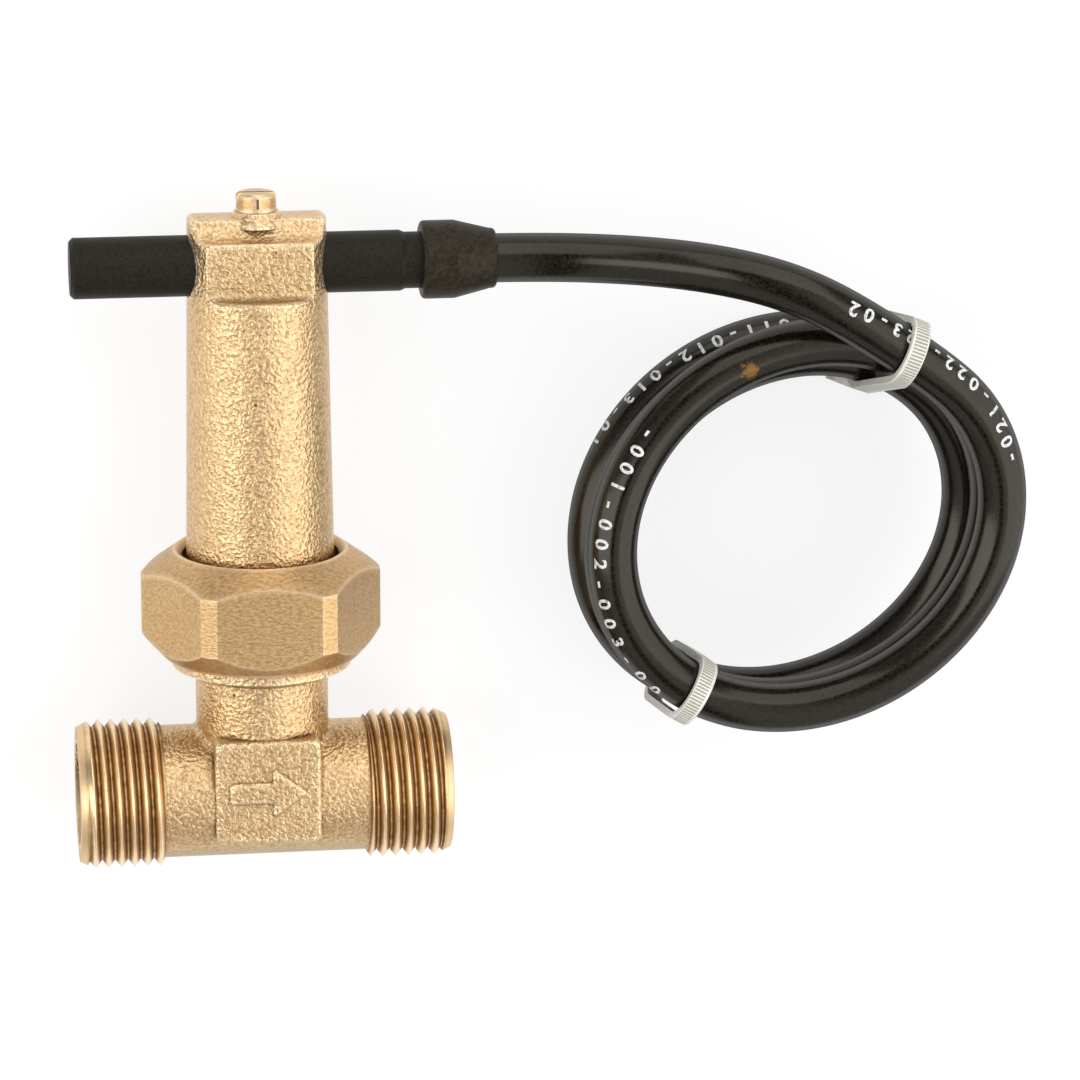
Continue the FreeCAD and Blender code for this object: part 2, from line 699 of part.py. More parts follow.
def run_with_arcs(points):
    """Straight runs joined by the largest tangent arcs that leave each run some straight."""
    edges = []
    radii = []
    here = points[0]
    for before, corner, after in zip(points, points[1:], points[2:]):
        back = before - corner
        ahead = after - corner
        shorter = min(back.Length, ahead.Length)
        half_turn = (math.pi - back.getAngle(ahead)) / 2
        cut = 0.45 * shorter
        back.normalize()
        ahead.normalize()
        first = corner + back * cut
        last = corner + ahead * cut
        radius = cut / math.tan(half_turn)
        edges.append(Part.LineSegment(here, first).toShape())
        edges.append(arc_from(first, corner, last))
        radii.append(radius)
        here = last
    edges.append(Part.LineSegment(here, points[-1]).toShape())
    path = Part.Wire(edges)
    print("lead arc radii, mm:", [round(r, 1) for r in radii], "length:", round(path.Length, 1))
    return path


def tube_along(path, start, heading):
    ring = Part.Wire(Part.makeCircle(CABLE_RADIUS, start, heading))
    return path.makePipeShell([ring], True, False)


def coil_centre(turn):
    """The middle of the cable after so many turns, clockwise from the start and down to the surface."""
    angle = math.radians(COIL_START - 360 * turn)
    from_long = angle - math.radians(COIL_LONG_AXIS)
    oval = math.hypot(COIL_SHORT_RADIUS * math.cos(from_long), COIL_LONG_RADIUS * math.sin(from_long))
    radius = COIL_LONG_RADIUS * COIL_SHORT_RADIUS / oval
    radius += COIL_LEAD_IN * math.exp(-turn / COIL_LEAD_IN_FADE)
    radius -= COIL_STAGGER * math.cos(math.pi * turn)
    rise = COIL_PITCH * (COIL_TURNS / 2 - turn)
    return point(
        COIL_CENTRE_X + COIL_LEAN_X * rise + radius * math.cos(angle),
        COIL_CENTRE_LEVEL + COIL_LEAN_Y * rise + radius * math.sin(angle),
        COIL_END_HEIGHT - AXIS_HEIGHT + COIL_PITCH * (COIL_TURNS - turn),
    )


def coil_heading(turn):
    step = 0.0005
    return (coil_centre(turn + step) - coil_centre(turn - step)).normalize()


def coil_start():
    return coil_centre(0), coil_heading(0)


def arc_from(start, corner, end):
    """The arc that touches both legs of an even corner."""
    middle = (start + end) / 2
    half = (end - start).Length / 2
    bend = math.atan2((corner - middle).Length, half)
    outward = (corner - middle).normalize()
    return Part.Arc(start, middle + outward * half * math.tan(bend / 2), end).toShape()


def biarc(start, start_heading, end, end_heading):
    """Two arcs between two headings, which meet without a kink."""
    chord = end - start
    both = start_heading + end_heading
    a = 2 * (1 - start_heading.dot(end_heading))
    b = 2 * chord.dot(both)
    c = chord.dot(chord)
    leg = (math.sqrt(b * b + 4 * a * c) - b) / (2 * a)
    first = start + start_heading * leg
    second = end - end_heading * leg
    meeting = (first + second) / 2
    return [arc_from(start, first, meeting), arc_from(meeting, second, end)]


def cable_coil():
    """Three turns of cable as one tube, on biarcs of a quarter turn, with straight ends."""
    quarters = round(4 * COIL_TURNS)
    places = [COIL_TURNS * k / quarters for k in range(quarters + 1)]
    centres = [coil_centre(turn) for turn in places]
    headings = [coil_heading(turn) for turn in places]
    entry = centres[0] - headings[0] * CABLE_DIAMETER
    leave = centres[-1] + headings[-1] * CABLE_DIAMETER
    edges = [Part.LineSegment(entry, centres[0]).toShape()]
    for k in range(quarters):
        edges += biarc(centres[k], headings[k], centres[k + 1], headings[k + 1])
    edges.append(Part.LineSegment(centres[-1], leave).toShape())
    path = Part.Wire(edges)
    print("coil length, mm:", round(path.Length, 1), "least gap between turns, mm:", round(coil_gap(path), 3))
    return tube_along(path, entry, headings[0]), path


def coil_gap(path):
    """The least gap between the coil and its own other turns, from points along its path."""
    count = 720
    points = path.discretize(count)
    step = path.Length / (count - 1)
    apart = round(6 * CABLE_DIAMETER / step)
    least = min(
        (a - b).Length
        for i, a in enumerate(points)
        for b in points[i + apart :]
    )
    return least - CABLE_DIAMETER


def strands_at(angle):
    """The cable's middles where the bundle crosses this direction, lowest first, and its mean heading."""
    first = ((COIL_START - angle) % 360) / 360
    join, heading = coil_start()
    speed = (coil_centre(0.001) - join).Length / 0.001
    turns = [first + k for k in reversed(range(3)) if first + k <= COIL_TURNS]
    middles = [coil_centre(turn) for turn in turns]
    headings = [coil_heading(turn) for turn in turns]
    back = (1 - first) * speed
    if back < CABLE_DIAMETER:
        middles.append(join - heading * back)
        headings.append(heading)
    mean = FreeCAD.Vector(0, 0, 0)
    for one in headings:
        mean = mean + one
    return middles, mean.normalize()


def cable_tie(angle, head_below):
    """A strap drawn round the strands, with its head below them or low on the side of the coil's hole."""
    strands, heading = strands_at(angle)
    low = strands[0]
    up = (strands[-1] - low).normalize()
    across = heading.cross(up).normalize()
    along = up.cross(across).normalize()
    flat = [strand - along * (strand - low).dot(along) for strand in strands]
    corners = outer_chain(flat, along) + outer_chain(flat[::-1], along)
    inner = CABLE_RADIUS + TIE_GAP
    strap = loop_solid(corners, along, inner + TIE_THICKNESS).cut(loop_solid(corners, along, inner))
    if head_below:
        head = tie_head(low - up * (inner + TIE_THICKNESS / 2), up * -1, across, along, TIE_FOOT_DEPTH)
    else:
        inward = across if across.y < 0 else across * -1
        drop = low.z + AXIS_HEIGHT - 0.6 * TIE_HEAD_LENGTH
        head = tie_head(low + inward * inner - Z * drop, inward, up, along, TIE_HEAD_DEPTH)
    return strap.fuse(head)


def outer_chain(middles, along):
    """The strands that a strap touches on one side, from the first up to the last, which it leaves out."""
    chain = []
    for middle in middles:
        while len(chain) > 1:
            edge = (chain[-1] - chain[-2]).normalize()
            outside = edge.cross(along)
            if (middle - chain[-1]).dot(outside) < -TIE_SLACK:
                break
            chain.pop()
        chain.append(middle)
    return chain[:-1]


def tie_head(foot, outward, long, along, depth):
    """The square catch of a tie, standing out from its strap."""
    corners = [
        foot + long * (a * TIE_HEAD_LENGTH / 2) + along * (b * TIE_HEAD_WIDTH / 2)
        for a, b in ((1, 1), (-1, 1), (-1, -1), (1, -1), (1, 1))
    ]
    return Part.Face(Part.makePolygon(corners)).extrude(outward * depth)


def loop_solid(corners, along, radius):
    """A slab as wide as the strap, whose edge runs at this distance round the corners."""
    start = along * (-TIE_WIDTH / 2)
    edges = []
    for here, after, following in zip(corners, corners[1:] + corners[:1], corners[2:] + corners[:2]):
        ahead = (after - here).normalize()
        onward = (following - after).normalize()
        out = ahead.cross(along) * radius + start
        turned_out = onward.cross(along) * radius + start
        corner = (ahead - onward).normalize() * radius + start
        edges.append(Part.LineSegment(here + out, after + out).toShape())
        edges.append(Part.Arc(after + out, after + corner, after + turned_out).toShape())
    return Part.Face(Part.Wire(edges)).extrude(along * TIE_WIDTH)


def main():
    save("tee_body", tee_body())
    save("pivot_carrier", pivot_carrier())
    save("pivot_pin", pivot_pin())
    save("lever", lever())
    save("paddle_blade", paddle_blade())
    save("paddle_rivets", paddle_rivets())
    save("magnet_holder", magnet_holder())
    save("magnet", magnet())
    save("return_spring", return_spring())
    save("union_gasket", union_gasket())
    save("union_nut", union_nut())
    save("housing", housing())
    save("set_screw", set_screw())
    save("pressure_pad", pressure_pad())
    save("reed_tube", reed_tube())
    capsule = reed_capsule()
    blades = [reed_blade(-1), reed_blade(1)]
    wires = core_wires()
    save("reed_capsule", capsule)
    save("reed_blade_left", blades[0])
    save("reed_blade_right", blades[1])
    save("core_wires", wires)
    capsule_hole = rod(CAPSULE_RADIUS, point(-CAPSULE_LENGTH / 2, REED_LEVEL), X, CAPSULE_LENGTH)
    save("potting_resin", potting_resin([capsule_hole] + blades + list(wires.Solids)))
    save("strain_relief", strain_relief())
    route = run_with_arcs(lead_points())
    save("cable_lead", tube_along(route, lead_points()[0], X))
    coil, path = cable_coil()
    save("cable_coil", coil)
    save("cable_tie_upper", cable_tie(TIE_UPPER_ANGLE, False))
    save("cable_tie_lower", cable_tie(TIE_LOWER_ANGLE, True))


main()
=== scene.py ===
"""Looks of the brass paddle flow switch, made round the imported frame."""

import math

import bmesh
import bpy
from mathutils import Matrix, Vector

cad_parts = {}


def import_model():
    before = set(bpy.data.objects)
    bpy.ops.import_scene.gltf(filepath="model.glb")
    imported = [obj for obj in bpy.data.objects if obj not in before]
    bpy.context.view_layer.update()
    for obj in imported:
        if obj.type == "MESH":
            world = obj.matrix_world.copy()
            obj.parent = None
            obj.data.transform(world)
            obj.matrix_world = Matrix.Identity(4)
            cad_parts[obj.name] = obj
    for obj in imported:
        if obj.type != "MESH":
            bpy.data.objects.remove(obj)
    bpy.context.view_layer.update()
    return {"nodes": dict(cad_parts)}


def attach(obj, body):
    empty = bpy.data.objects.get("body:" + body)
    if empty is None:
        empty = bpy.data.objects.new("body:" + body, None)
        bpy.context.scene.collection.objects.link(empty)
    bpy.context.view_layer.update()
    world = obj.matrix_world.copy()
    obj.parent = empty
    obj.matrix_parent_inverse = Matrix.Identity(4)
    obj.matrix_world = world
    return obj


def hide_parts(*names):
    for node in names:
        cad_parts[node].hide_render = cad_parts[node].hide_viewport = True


MM = 0.001

# The frame's origin is on the nut's back flat: the pipe's axis lies this far from it
RUN_DROP = 27.6 * MM
AXIS_HEIGHT = 15.0 * MM

# Camera: where it aims, in the part's frame, how far off it stands in metres, and how it is turned
CAMERA_AIM = Vector((39.77, 6.06, 11.34)) * MM
CAMERA_DISTANCE = 0.70
CAMERA_YAW = math.radians(8.0)
CAMERA_TILT = math.radians(15.229)
CAMERA_ROLL = math.radians(0.173)
CAMERA_LENS = 165.7
CAMERA_SENSOR = 36.0
CAMERA_CLIP_START = 0.05
CAMERA_CLIP_END = 20.0

# The plain world: the direction from which it is brightest, and pairs of a cosine to it and the grey there
WORLD_BRIGHTEST = (0.13, -0.45, 0.88)
WORLD_LOW = (0.1, 0.26)
WORLD_HIGH = (1.0, 0.96)

# The dark flag over the part: its grey, its angle from +Z to +X, how far it reaches to either side, and the
# share of that reach over which its edges fade
FLAG_GREY = 0.03
FLAG_ANGLE = math.radians(-14.0)
FLAG_HALF_ANGLE = math.radians(10.5)
FLAG_FADE = 0.6

# The white table: its half width in metres, its darkest and lightest grey, and the glow that makes it white
FLOOR_HALF = 3.0
FLOOR_GREY = (0.22, 0.24)
FLOOR_GLOW = 0.79

# Softboxes, all aimed at one point: name, place, size, and brightness, which is power over area and pi
SOFTBOX_AIM = Vector((0.03, 0.0, 0.01))
SOFTBOXES = [
    ("left_softbox", (-0.76, 0.0, 0.60), (0.52, 1.3), 2.30),
    ("right_softbox", (0.80, 0.0, 0.56), (1.15, 1.3), 1.30),
    ("far_softbox", (0.1, 0.87, 0.55), (1.0, 1.05), 1.55),
]

# The cable, in metres
CABLE_DIAMETER = 6.8 * MM

# Its route in millimetres, as in the solid: along the run, over the pipe's axis and over the axis plane
REED_LEVEL = 75.2
LEAD_ROUTE = [
    (28.5, REED_LEVEL, 0.0),
    (39.05, REED_LEVEL, 0.0),
    (52.02, 75.16, 3.64),
    (62.02, 74.72, 8.53),
    (71.15, 72.78, 11.0),
]
LEAD_LAST_RUN = 9.36
COIL_TURNS = 3.0
COIL_POINTS_PER_TURN = 24
COIL_PITCH = 7.3
COIL_END_HEIGHT = 4.65
COIL_CENTRE_X = 75.4
COIL_CENTRE_LEVEL = 35.85
COIL_LONG_RADIUS = 28.1
COIL_SHORT_RADIUS = 24.65
COIL_LONG_AXIS = 34.5
COIL_START = 53.2
COIL_LEAN_X = 0.067
COIL_LEAN_Y = 0.143
COIL_STAGGER = 1.06
COIL_LEAD_IN = 1.5
COIL_LEAD_IN_FADE = 0.25

# Length marks printed on the cable: from and to along it in millimetres, the degrees round it at the start,
# middle and end of that stretch, and the digits
PRINT_RUNS = [
    (54.1, 85.2, (-27, -46, -24), "-021-022-023-02"),
    (519.0, 551.0, (-84, -56, -38), "-011-012-013-01"),
    (156.7, 193.7, (-60, -42, -29), "-001-002-003-00"),
]
PRINT_SIZE = 2.8 * MM
PRINT_BOLDNESS = 0.026 * PRINT_SIZE
PRINT_LIFT = 0.03 * MM
PRINT_STRIP = 0.2 * MM
PRINT_STRIPS = 6

# The stain on the cable: how far along it, how far round it and how wide
STAIN_ALONG = 210.0 * MM
STAIN_ANGLE = math.radians(8.0)
STAIN_RADIUS = 1.0 * MM

# Pipe threads, in millimetres
RUN_HALF = 26.0
THREAD_LENGTH = 11.8
THREAD_PITCH = 1.814
THREAD_CREST = 10.4775
THREAD_DEPTH = 1.162
THREAD_ROUNDING = 0.1
THREAD_START_RADIUS = 9.3
THREAD_START_SLOPE = 2
THREAD_CHAMFER = 1.0
THREAD_CHAMFER_LENGTH = 2.1
THREAD_PLAIN_END = 0.7
THREAD_PHASE = {-1: 0.596, 1: 0.327}
THREAD_LEAD_IN = 0.25
THREAD_END_GAP = 0.002
THREAD_LIP = 0.6
THREAD_LIP_BACK = 0.02
THREAD_ROWS_PER_PITCH = 16
THREAD_COLUMNS = 144

# The solid's plain barrels start here along the run; their faces lie outside the lower radius and reach
# past the higher one
BARREL_START = 14.19
BARREL_LOW = 9.29
BARREL_HIGH = 9.31

# Faces this near to the run's ends are turned, not cast
END_FACE_REACH = 0.1

# Flow arrow on the pad, in millimetres
PAD_CENTRE_LEVEL = 2.25
PAD_FRONT = 9.85
ARROW_LENGTH = 10.4
ARROW_SHAFT = 1.35
ARROW_HEAD_LENGTH = 4.4
ARROW_HEAD = 3.3
ARROW_CORNER = 0.45
ARROW_RELIEF = 0.55
ARROW_FOOT = 1.0

# Ribs of the ties: the turn of the coil under each tie, from its angle in degrees round the coil, and where
# the ribs lie on its strap
TIE_TURNS = {
    "cable_tie_upper": (COIL_START - 64.0) / 360,
    "cable_tie_lower": (COIL_START - 234.5 + 360) / 360,
}
RIB_PITCH = 0.44 * MM
RIB_RADIUS = CABLE_DIAMETER / 2 + 1.0 * MM
RIB_HALF_WIDTH = 0.85 * MM
RIB_FADE = 1.12


def place(x, level, height):
    """A point in metres, in the part's frame, from millimetres along the run, over its axis and in front."""
    return Vector((x * MM, level * MM - RUN_DROP, height * MM + AXIS_HEIGHT))


def add_object(name, data):
    """A new object in the scene."""
    thing = bpy.data.objects.new(name, data)
    bpy.context.scene.collection.objects.link(thing)
    return thing


# Nodes of the materials


def feed(socket, value):
    """Wires a socket to another one, or sets its value."""
    if isinstance(value, bpy.types.NodeSocket):
        socket.id_data.links.new(value, socket)
    else:
        socket.default_value = value


def node_adder(tree):
    """A function that adds and wires the nodes of a tree."""

    def add(kind, inputs=None, **settings):
        node = tree.nodes.new(kind)
        for key, value in settings.items():
            setattr(node, key, value)
        for key, value in (inputs or {}).items():
            feed(node.inputs[key], value)
        return node

    return add


def node_material(name):
    """A new material with its shader, and what adds and wires its nodes."""
    material = bpy.data.materials.new(name)
    material.use_nodes = True
    tree = material.node_tree
    return material, tree.nodes["Principled BSDF"], node_adder(tree), tree.links


def grade(add, factor, stops):
    """A colour ramp over a factor from (place, value or colour) stops."""
    ramp = add("ShaderNodeValToRGB", {"Fac": factor})
    elements = ramp.color_ramp.elements
    while len(elements) < len(stops):
        elements.new(0.5)
    for element, (at, value) in zip(elements, stops):
        element.position = at
        colour = value if isinstance(value, tuple) else (value, value, value)
        element.color = (*colour, 1.0)
    return ramp.outputs["Color"]


def noise(add, position, scale, detail, rough, distortion=0.0):
    """A noise of so many grains a metre, from 0 to 1."""
    inputs = {
        "Vector": position,
        "Scale": scale,
        "Detail": detail,
        "Roughness": rough,
        "Distortion": distortion,
    }
    return add("ShaderNodeTexNoise", inputs).outputs["Fac"]


def mix_colour(add, factor, first, second, blend="MIX"):
    """The first colour where the factor is 0, and the second where it is 1."""
    node = add("ShaderNodeMix", data_type="RGBA", blend_type=blend)
    for key, value in (("Factor", factor), ("A", first), ("B", second)):
        feed(next(s for s in node.inputs if s.name == key and s.enabled), value)
    return next(s for s in node.outputs if s.enabled)


def maths(add, operation, first, second=0.0, third=0.0):
    """One operation on up to three values."""
    node = add("ShaderNodeMath", {0: first, 1: second, 2: third}, operation=operation)
    return node.outputs["Value"]


def span(add, value, low, high):
    """0 at one value and 1 at the other, smooth between them."""
    inputs = {"Value": value, "From Min": low, "From Max": high}
    return add("ShaderNodeMapRange", inputs, interpolation_type="SMOOTHSTEP").outputs["Result"]


def along(add, position, origin, direction):
    """How far a position lies from an origin in one direction."""
    offset = add("ShaderNodeVectorMath", {0: position, 1: tuple(origin)}, operation="SUBTRACT")
    inputs = {0: offset.outputs["Vector"], 1: tuple(direction)}
    return add("ShaderNodeVectorMath", inputs, operation="DOT_PRODUCT").outputs["Value"]


def bump(add, height, distance, strength, onto=None):
    """A normal that tilts with a height of so many metres, over another normal if one is given."""
    inputs = {"Height": height, "Distance": distance, "Strength": strength}
    if onto is not None:
        inputs["Normal"] = onto
    return add("ShaderNodeBump", inputs).outputs["Normal"]


def object_position(add):
    """The place on the part, in its own frame."""
    return add("ShaderNodeTexCoord").outputs["Object"]


def facing_head(add):
    """How far a face looks to the head: 1 straight at it, -1 straight at the pipe."""
    normal = add("ShaderNodeTexCoord").outputs["Normal"]
    return add("ShaderNodeSeparateXYZ", {"Vector": normal}).outputs["Y"]


def wear_and_painted_light(add, tone, edge_reach, crease_reach, grime_and_shade):
    """A tone lightened on outer edges, part wear and part painted highlight, with painted shade where it
    faces the pipe and in creases.
    """
    settings = {"samples": 6, "inside": True, "only_local": True}
    behind = add("ShaderNodeAmbientOcclusion", {"Distance": edge_reach}, **settings)
    before = add("ShaderNodeAmbientOcclusion", {"Distance": crease_reach}, samples=6)
    # Outer edges lightened towards BRASS_HIGH: part wear, part painted highlight
    edge = span(add, behind.outputs["AO"], *EDGE_OPENNESS)
    # Painted shade on faces turned to the pipe
    under = maths(add, "MULTIPLY", span(add, facing_head(add), *UNDER_FACING), UNDER_SHARE)
    # Painted shade in creases, scaled by the given strength
    crease = maths(add, "MULTIPLY", span(add, before.outputs["AO"], *CREASE_OPENNESS), grime_and_shade)
    tone = mix_colour(add, edge, tone, (*BRASS_HIGH, 1.0))
    tone = mix_colour(add, under, tone, (*BRASS_GREY, 1.0))
    return mix_colour(add, crease, tone, (*BRASS_SHADE, 1.0))


# Brass

# BRASS_SHADE and BRASS_GREY are painted shade, and BRASS_HIGH is partly a painted highlight
BRASS_DEEP = (0.20, 0.100, 0.027)
BRASS_SHADE = (0.15, 0.100, 0.050)
BRASS_GREY = (0.40, 0.310, 0.180)
BRASS_DULL = (0.47, 0.290, 0.125)
BRASS_LOW = (0.58, 0.375, 0.175)
BRASS_MID = (0.70, 0.480, 0.252)
BRASS_BRIGHT = (0.81, 0.580, 0.330)
BRASS_HIGH = (0.93, 0.730, 0.480)

# Wear and painted light: how open a place is where its bright edge or its painted crease shade starts and
# where it is full, the same for how far a face looks to the pipe, and the share of painted shade such a face
# takes
EDGE_OPENNESS = (0.92, 0.68)
CREASE_OPENNESS = (0.80, 0.45)
UNDER_FACING = (-0.60, -0.92)
UNDER_SHARE = 0.8

# The ledge under the head's flats gets painted shade
LEDGE_LEVEL = 71.5 * MM
LEDGE_REACH = 2.5 * MM
LEDGE_FACING = (0.30, 0.70)

# Pits of the casting: how many cells a metre, and from where to where from a cell's point a pit ends
PIT_CELLS = 150.0
PIT_EDGE = (0.026, 0.046)


def cast_brass(name, grime_and_shade):
    """Sand-cast, blasted brass: a skin of short strokes, a few pits, a ledge in painted shade and edges worn
    and painted bright.
    """
    material, shader, add, links = node_material(name)
    position = object_position(add)
    strokes = noise(add, position, 1950.0, detail=1.0, rough=0.45, distortion=0.35)
    grain = noise(add, position, 4200.0, detail=2.0, rough=0.6)
    broad = noise(add, position, 60.0, detail=2.0, rough=0.5)
    cells = add("ShaderNodeTexVoronoi", {"Vector": position, "Scale": PIT_CELLS})
    pits = span(add, cells.outputs["Distance"], *PIT_EDGE)
    tone = grade(add, strokes, [(0.30, BRASS_LOW), (0.46, BRASS_MID), (0.66, BRASS_BRIGHT)])
    patch = grade(add, broad, [(0.3, (0.95, 0.94, 0.92)), (0.7, (1.0, 1.0, 1.0))])
    tone = mix_colour(add, 1.0, tone, patch, "MULTIPLY")
    tone = mix_colour(add, pits, (*BRASS_DEEP, 1.0), tone)
    # Painted shade on the ledge under the head's flats
    level = maths(add, "ADD", add("ShaderNodeSeparateXYZ", {"Vector": position}).outputs["Y"], RUN_DROP)
    apart = maths(add, "ABSOLUTE", maths(add, "SUBTRACT", level, LEDGE_LEVEL))
    near = maths(add, "LESS_THAN", apart, LEDGE_REACH)
    ledge = maths(add, "MULTIPLY", span(add, facing_head(add), *LEDGE_FACING), near)
    tone = mix_colour(add, ledge, tone, (*BRASS_GREY, 1.0))
    tone = wear_and_painted_light(add, tone, edge_reach=0.0011, crease_reach=0.0016, grime_and_shade=grime_and_shade)
    links.new(tone, shader.inputs["Base Color"])
    shader.inputs["Metallic"].default_value = 1.0
    links.new(grade(add, grain, [(0.3, 0.30), (0.7, 0.40)]), shader.inputs["Roughness"])
    soft = bump(add, strokes, 0.00025, strength=1.0)
    fine = bump(add, grain, 0.00003, strength=0.6, onto=soft)
    pitted = bump(add, pits, 0.00012, strength=0.8, onto=fine)
    links.new(pitted, shader.inputs["Normal"])
    return material


def turned_brass():
    """Machined brass: smoother than the casting, with a fine speckle, edges worn and painted bright, and
    painted shade.
    """
    material, shader, add, links = node_material("turned_brass")
    position = object_position(add)
    stretched = add("ShaderNodeMapping", {"Vector": position, "Scale": (0.45, 1.0, 0.7)}).outputs["Vector"]
    speckle = noise(add, stretched, 3000.0, detail=2.0, rough=0.65)
    broad = noise(add, position, 90.0, detail=2.0, rough=0.5)
    tone = grade(add, speckle, [(0.30, BRASS_DULL), (0.46, BRASS_LOW), (0.62, BRASS_MID)])
    patch = grade(add, broad, [(0.3, (0.94, 0.92, 0.89)), (0.7, (1.0, 1.0, 1.0))])
    tone = mix_colour(add, 1.0, tone, patch, "MULTIPLY")
    tone = wear_and_painted_light(add, tone, edge_reach=0.0009, crease_reach=0.0012, grime_and_shade=0.8)
    links.new(tone, shader.inputs["Base Color"])
    shader.inputs["Metallic"].default_value = 1.0
    links.new(grade(add, speckle, [(0.3, 0.36), (0.7, 0.46)]), shader.inputs["Roughness"])
    links.new(bump(add, speckle, 0.00010, strength=0.8), shader.inputs["Normal"])
    return material


def threaded_brass():
    """Cut threads: a painted highlight on the crests, mottled painted shade on the flanks, a painted lighter
    line along the root and a bright end.
    """
    material, shader, add, links = node_material("threaded_brass")
    position = object_position(add)
    parts = add("ShaderNodeSeparateXYZ", {"Vector": position})
    level = maths(add, "ADD", parts.outputs["Y"], RUN_DROP)
    height = maths(add, "SUBTRACT", parts.outputs["Z"], AXIS_HEIGHT)
    squared = maths(add, "ADD", maths(add, "MULTIPLY", level, level), maths(add, "MULTIPLY", height, height))
    radius = maths(add, "SQRT", squared)
    root = (THREAD_CREST - THREAD_DEPTH) * MM
    rise = span(add, radius, root, THREAD_CREST * MM)
    grime_and_shade = noise(add, position, 900.0, detail=2.0, rough=0.6)
    # Colour by height over the root: painted shade towards the roots and a painted highlight on the crests,
    # mottled by noise
    depth = maths(add, "MULTIPLY_ADD", grime_and_shade, 0.24, maths(add, "MULTIPLY", rise, 0.80))
    cut = [(0.10, BRASS_MID), (0.22, BRASS_DEEP), (0.46, BRASS_DULL), (0.70, BRASS_BRIGHT), (0.9, BRASS_HIGH)]
    outward = maths(add, "ABSOLUTE", parts.outputs["X"])
    plain = span(add, outward, (RUN_HALF - 1.5 * THREAD_PLAIN_END) * MM, (RUN_HALF - THREAD_PLAIN_END) * MM)
    tone = mix_colour(add, plain, grade(add, depth, cut), (*BRASS_BRIGHT, 1.0))
    links.new(tone, shader.inputs["Base Color"])
    shader.inputs["Metallic"].default_value = 1.0
    cut_rough = grade(add, depth, [(0.2, 0.50), (0.9, 0.27)])
    end_rough = maths(add, "MULTIPLY", plain, 0.44)
    links.new(maths(add, "MAXIMUM", cut_rough, end_rough), shader.inputs["Roughness"])
    links.new(bump(add, grime_and_shade, 0.00003, strength=0.5), shader.inputs["Normal"])
    return material


# Plastics, rubber, steel and glass

# Black skins: the warm tint of their gloss, their mean tones, and the darkest and lightest as shares of those
WARM_GLOSS = (1.0, 0.92, 0.78, 1.0)
PLASTIC_BLACK = (0.012, 0.0105, 0.007)
RUBBER_BLACK = (0.021, 0.016, 0.010)
SKIN_DARK = 0.30
SKIN_LIGHT = 1.80

# Other tones
SHEATH_DARK = (0.002, 0.0018, 0.0012)
SHEATH_LIGHT = (0.014, 0.012, 0.008)
STAIN_AMBER = (0.20, 0.085, 0.010)
NYLON_SHADE = (0.70, 0.68, 0.60)
NYLON_LIGHT = (0.84, 0.83, 0.77)
# The painted shade in the ties' rib grooves
NYLON_GROOVE_SHADE = (0.40, 0.37, 0.29)
STEEL_DARK = (0.50, 0.50, 0.51)
STEEL_LIGHT = (0.64, 0.64, 0.65)
PRINT_THIN = (0.34, 0.34, 0.33)
PRINT_FULL = (0.82, 0.83, 0.84)


def black_skin(name, colour, rough, scale):
    """Moulded black plastic or rubber with a fine skin."""
    material, shader, add, links = node_material(name)
    position = object_position(add)
    skin = noise(add, position, scale, detail=4.0, rough=0.65)
    broad = noise(add, position, 140.0, detail=2.0, rough=0.5)
    dark = tuple(SKIN_DARK * c for c in colour)
    light = tuple(SKIN_LIGHT * c for c in colour)
    links.new(grade(add, skin, [(0.3, dark), (0.7, light)]), shader.inputs["Base Color"])
    links.new(grade(add, broad, [(0.3, rough - 0.05), (0.7, rough + 0.05)]), shader.inputs["Roughness"])
    shader.inputs["Specular IOR Level"].default_value = 0.19
    shader.inputs["Specular Tint"].default_value = WARM_GLOSS
    links.new(bump(add, skin, 0.00004, strength=0.5), shader.inputs["Normal"])
    return material


def cable_sheath(stain):
    """Glossy black sheath, duller where it turns away, with a fine skin and one amber stain."""
    material, shader, add, links = node_material("cable_sheath")
    position = object_position(add)
    skin = noise(add, position, 2600.0, detail=3.0, rough=0.6)
    ripple = noise(add, position, 120.0, detail=1.0, rough=0.5)
    tone = grade(add, skin, [(0.35, SHEATH_DARK), (0.65, SHEATH_LIGHT)])
    apart = add("ShaderNodeVectorMath", {0: position, 1: tuple(stain)}, operation="DISTANCE").outputs["Value"]
    # The ragged noise adds two radii on average, so the stain's edge lies about one radius out
    ragged = noise(add, position, 800.0, detail=3.0, rough=0.7)
    uneven = maths(add, "MULTIPLY_ADD", ragged, 4.0 * STAIN_RADIUS, apart)
    spot = span(add, uneven, 3.3 * STAIN_RADIUS, 2.7 * STAIN_RADIUS)
    links.new(mix_colour(add, spot, tone, (*STAIN_AMBER, 1.0)), shader.inputs["Base Color"])
    rim = span(add, add("ShaderNodeLayerWeight", {"Blend": 0.5}).outputs["Facing"], 0.40, 0.90)
    middle_rough = grade(add, skin, [(0.3, 0.14), (0.7, 0.24)])
    links.new(maths(add, "MULTIPLY_ADD", rim, 0.40, middle_rough), shader.inputs["Roughness"])
    shader.inputs["Specular IOR Level"].default_value = 0.44
    shader.inputs["Specular Tint"].default_value = WARM_GLOSS
    low = bump(add, ripple, 0.0003, strength=0.15)
    links.new(bump(add, skin, 0.00001, strength=0.5, onto=low), shader.inputs["Normal"])
    return material


